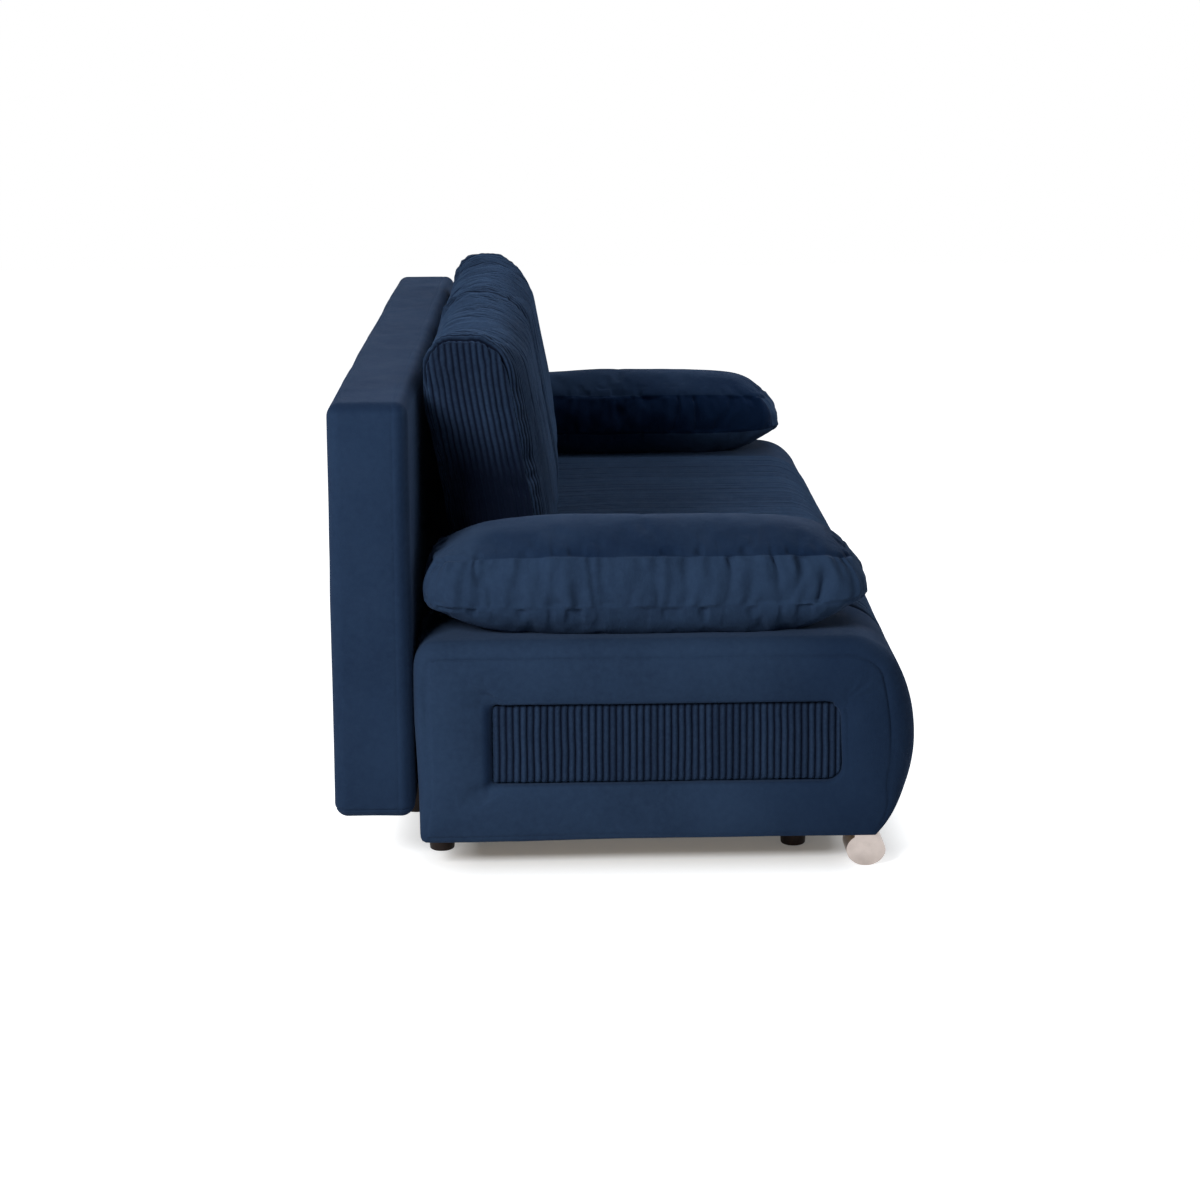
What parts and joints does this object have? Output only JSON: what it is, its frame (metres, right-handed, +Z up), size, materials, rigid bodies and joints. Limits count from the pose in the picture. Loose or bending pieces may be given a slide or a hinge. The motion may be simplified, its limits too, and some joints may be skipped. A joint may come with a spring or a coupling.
{
  "type": "sofa bed",
  "caption": "Upholstered pull-out sofa bed: rolled base with corduroy seat, back slab that lowers to make the bed, loose back and arm cushions.",
  "frame": {"origin": "on the floor under the middle of the closed sofa", "axes": "+X along the length, to the right as seen from the front; -Y is the front; +Z up"},
  "size_m": [2, 1.02, 0.9025],
  "materials": {
    "velour": "matte",
    "corduroy": "matte",
    "plywood": "matte",
    "timber": "matte",
    "foot_brown": "satin",
    "satin_metal": "satin",
    "rubber": "matte",
    "zinc_steel": "satin",
    "black_steel": "satin"
  },
  "bodies": {
    "rear_frame": {"frame_front_foot_left": "foot_brown", "frame_front_foot_right": "foot_brown", "frame_front_tube": "black_steel", "frame_rail_left": "black_steel", "frame_rail_right": "black_steel", "frame_rear_foot_left": "foot_brown", "frame_rear_foot_right": "foot_brown", "frame_rear_tube": "black_steel"},
    "base": {"arm_cushion_left": "velour", "arm_cushion_right": "velour", "back_cushion_left": "corduroy", "back_cushion_right": "corduroy", "base_front_foot_left": "foot_brown", "base_front_foot_right": "foot_brown", "base_rear_foot_left": "foot_brown", "base_rear_foot_right": "foot_brown", "carcass_side_left": "plywood", "carcass_side_right": "plywood", "centre_beam": "timber", "end_block_left": "velour", "end_block_right": "velour", "end_board_left": "plywood", "end_board_right": "plywood", "front_board": "plywood", "inset_panel_left": "corduroy", "inset_panel_right": "corduroy", "lift_guide_left": "black_steel", "lift_guide_right": "black_steel", "oval_foot_left": "satin_metal", "oval_foot_plate_left": "satin_metal", "oval_foot_plate_right": "satin_metal", "oval_foot_right": "satin_metal", "rear_board": "plywood", "runner_beam_left": "timber", "runner_beam_right": "timber", "runner_left": "zinc_steel", "runner_right": "zinc_steel", "seat_deck": "plywood", "seat_front": "corduroy", "seat_pad": "corduroy"},
    "carriage": {"lift_bar": "zinc_steel", "lift_slider_left": "black_steel", "lift_slider_right": "black_steel"},
    "slab": {"hinge_bracket_left": "black_steel", "hinge_bracket_right": "black_steel", "hinge_pin_left": "zinc_steel", "hinge_pin_right": "zinc_steel", "slab_bottom_rail": "timber", "slab_end_stile_left": "timber", "slab_end_stile_right": "timber", "slab_front_pad": "velour", "slab_mid_stile_left": "timber", "slab_mid_stile_right": "timber", "slab_rear_pad": "velour", "slab_top_rail": "timber"},
    "legs": {"leg_bar_left": "black_steel", "leg_bar_right": "black_steel", "leg_shaft": "zinc_steel", "leg_shoe_left": "rubber", "leg_shoe_right": "rubber"}
  },
  "joints": [
    {"name": "base_slide", "type": "slide", "parent": "rear_frame", "child": "base", "axis": [0, -1, 0], "range_m": [0, 0.59]},
    {"name": "slab_lift", "type": "slide", "parent": "base", "child": "carriage", "axis": [0, 0, 1], "range_m": [0, 0.281]},
    {"name": "slab_tilt", "type": "hinge", "parent": "carriage", "child": "slab", "pos_m": [0, 0.384, 0.119], "axis": [-1, 0, 0], "range_deg": [0, 90]},
    {"name": "leg_swing", "type": "hinge", "parent": "slab", "child": "legs", "pos_m": [0, 0.462, 0.745], "axis": [1, 0, 0], "range_deg": [0, 90]}
  ],
  "couplings": [
    {"joint": "slab_lift", "follows": "base_slide", "ratio": 0.47626},
    {"joint": "slab_tilt", "follows": "base_slide", "rad_per_m": 2.6624},
    {"joint": "leg_swing", "follows": "base_slide", "rad_per_m": 2.6624}
  ]
}
